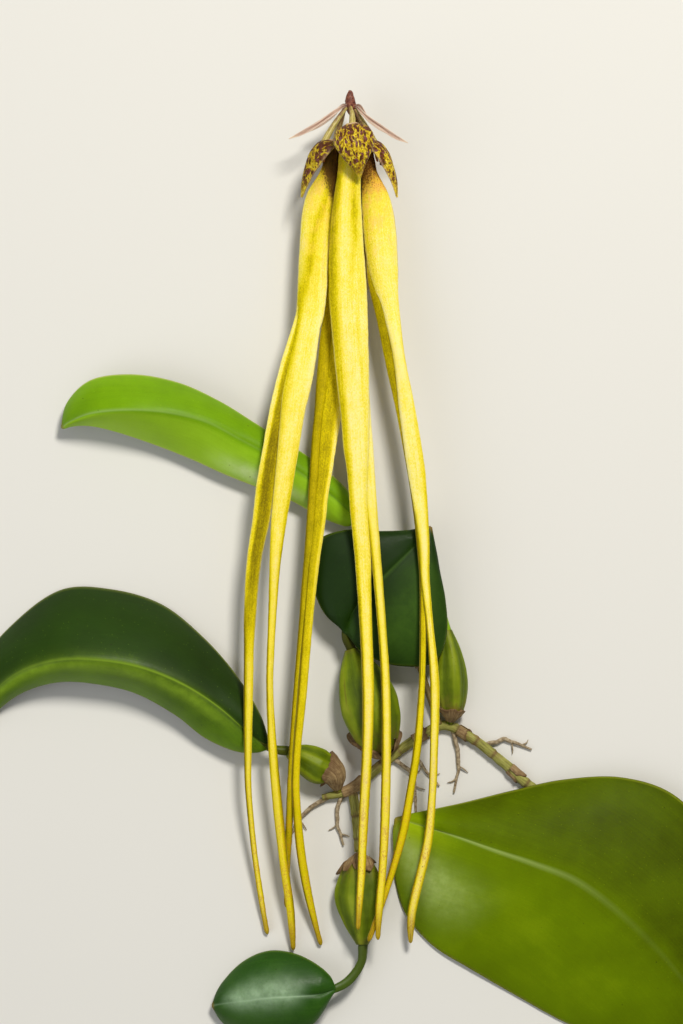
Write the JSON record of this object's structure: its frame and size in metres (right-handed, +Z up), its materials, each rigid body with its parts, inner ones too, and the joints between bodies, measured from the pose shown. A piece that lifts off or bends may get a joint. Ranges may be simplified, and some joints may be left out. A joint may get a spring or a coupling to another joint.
{
  "type": "bulbophyllum orchid plant in flower",
  "caption": "Creeping bulbophyllum orchid laid on a surface: rhizome, ridged pseudobulbs, leathery leaves, and a scape whose umbel hangs long-tailed yellow sepals under spotted hoods.",
  "frame": {"origin": "middle of the base of the plant's bounding box, on the surface it lies on", "axes": "+Z up off the surface; +Y along the flower cluster, from the sepals' tails to the tip of the umbel; +X towards the big leaf"},
  "size_m": [0.2598, 0.2892, 0.0279],
  "materials": {
    "sepal": "soft satin, finely grained",
    "hood": "satin, yellow with purple-brown spots",
    "petal": "satin, flushed and speckled",
    "lip": "satin, fleshy",
    "stalk": "satin, yellow-green with purple flecks",
    "bract": "papery, dry",
    "scape": "satin, brownish green",
    "rhizome": "dull, ringed, with papery scales",
    "bulb": "semi-gloss, ridged",
    "leaf": "leathery, semi-gloss"
  },
  "bodies": {
    "root": {"left_stalk": "stalk", "left_dorsal_sepal": "hood", "left_lateral_sepals": "sepal", "left_petal_left": "petal", "left_petal_right": "petal", "left_lip": "lip", "back_stalk": "stalk", "back_dorsal_sepal": "hood", "back_lateral_sepals": "sepal", "back_petal_left": "petal", "back_petal_right": "petal", "back_lip": "lip", "right_stalk": "stalk", "right_dorsal_sepal": "hood", "right_lateral_sepals": "sepal", "right_petal_left": "petal", "right_petal_right": "petal", "right_lip": "lip", "center_stalk": "stalk", "center_dorsal_sepal": "hood", "center_lateral_sepals": "sepal", "center_petal_left": "petal", "center_petal_right": "petal", "center_lip": "lip", "scape": "scape", "bract_left": "bract", "bract_right": "bract", "bract_back_left": "bract", "bract_back_right": "bract", "rhizome": "rhizome", "pseudobulb_1": "bulb", "pseudobulb_2": "bulb", "pseudobulb_3": "bulb", "pseudobulb_4": "bulb", "leaf_1": "leaf", "leaf_2": "leaf", "leaf_3": "leaf", "leaf_4": "leaf", "pseudobulb_5": "bulb", "leaf_5": "leaf"}
  },
  "joints": []
}
